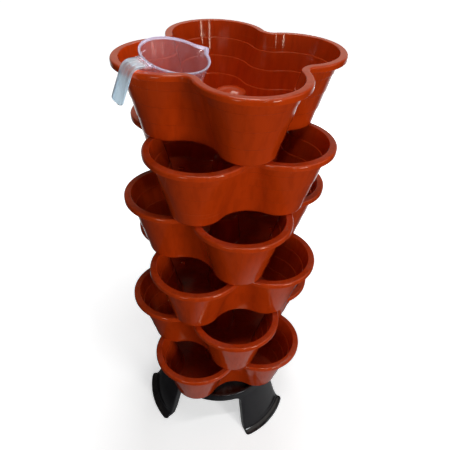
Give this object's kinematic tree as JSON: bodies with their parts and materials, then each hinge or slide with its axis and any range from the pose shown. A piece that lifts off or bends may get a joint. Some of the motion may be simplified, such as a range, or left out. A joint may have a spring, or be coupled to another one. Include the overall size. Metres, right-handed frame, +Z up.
{
  "type": "vertical planter tower",
  "caption": "Tower of stacked four-lobed planter pots on a low tripod stand, with a clear measuring jug hooked over the top rim.",
  "frame": {"origin": "on the floor at the tower's vertical axis, midway between the feet", "axes": "+Z up; the top pot has a lobe on each of +X, -X, +Y and -Y; the front is towards -Y and the jug hangs on the -X side; one leg of the stand points nearly to -X"},
  "size_m": [0.4049, 0.4, 0.921],
  "materials": {
    "terracotta_plastic": "glossy moulded, slightly rippled",
    "black_plastic": "glossy moulded",
    "clear_violet_plastic": "clear, faint violet tint"
  },
  "bodies": {
    "stand": {"stand": "black_plastic"},
    "pot_1": {"pot_1": "terracotta_plastic"},
    "pot_2": {"pot_2": "terracotta_plastic"},
    "pot_3": {"pot_3": "terracotta_plastic"},
    "pot_4": {"pot_4": "terracotta_plastic"},
    "pot_5": {"pot_5": "terracotta_plastic"},
    "pot_6": {"pot_6": "terracotta_plastic"},
    "measuring_jug": {"measuring_jug": "clear_violet_plastic"}
  },
  "joints": [
    {"name": "pot_1_lift", "type": "slide", "parent": "stand", "child": "pot_1", "axis": [0, 0, 1], "range_m": [0, 0.15]},
    {"name": "pot_2_lift", "type": "slide", "parent": "pot_1", "child": "pot_2", "axis": [0, 0, 1], "range_m": [0, 0.15]},
    {"name": "pot_3_lift", "type": "slide", "parent": "pot_2", "child": "pot_3", "axis": [0, 0, 1], "range_m": [0, 0.15]},
    {"name": "pot_4_lift", "type": "slide", "parent": "pot_3", "child": "pot_4", "axis": [0, 0, 1], "range_m": [0, 0.15]},
    {"name": "pot_5_lift", "type": "slide", "parent": "pot_4", "child": "pot_5", "axis": [0, 0, 1], "range_m": [0, 0.15]},
    {"name": "pot_6_lift", "type": "slide", "parent": "pot_5", "child": "pot_6", "axis": [0, 0, 1], "range_m": [0, 0.15]},
    {"name": "measuring_jug_lift", "type": "slide", "parent": "pot_6", "child": "measuring_jug", "axis": [0, 0, 1], "range_m": [0, 0.16]}
  ]
}
